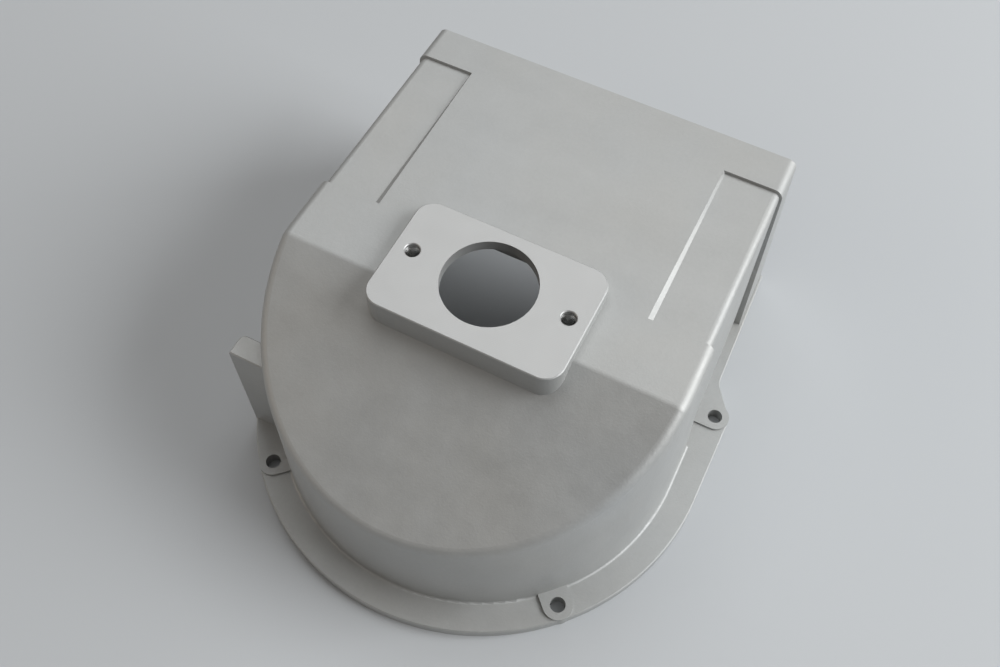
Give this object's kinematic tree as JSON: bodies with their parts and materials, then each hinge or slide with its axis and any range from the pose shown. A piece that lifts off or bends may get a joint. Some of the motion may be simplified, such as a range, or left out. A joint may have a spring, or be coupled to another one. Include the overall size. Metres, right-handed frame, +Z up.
{
  "type": "die cast housing",
  "caption": "Cast aluminium hood with a round front, a falling front roof, a bolting flange and a machined plate with a bore; open below and at the rear.",
  "frame": {"origin": "middle of the footprint on the base plane", "axes": "+Z up, away from the mounting surface; +Y towards the open end; -Y towards the round front"},
  "size_m": [0.2, 0.222, 0.0964],
  "materials": {
    "cast_aluminium": "fine blasted as-cast surface, with a milled plate face and a bored hole"
  },
  "bodies": {
    "root": {"housing": "cast_aluminium"}
  },
  "joints": []
}
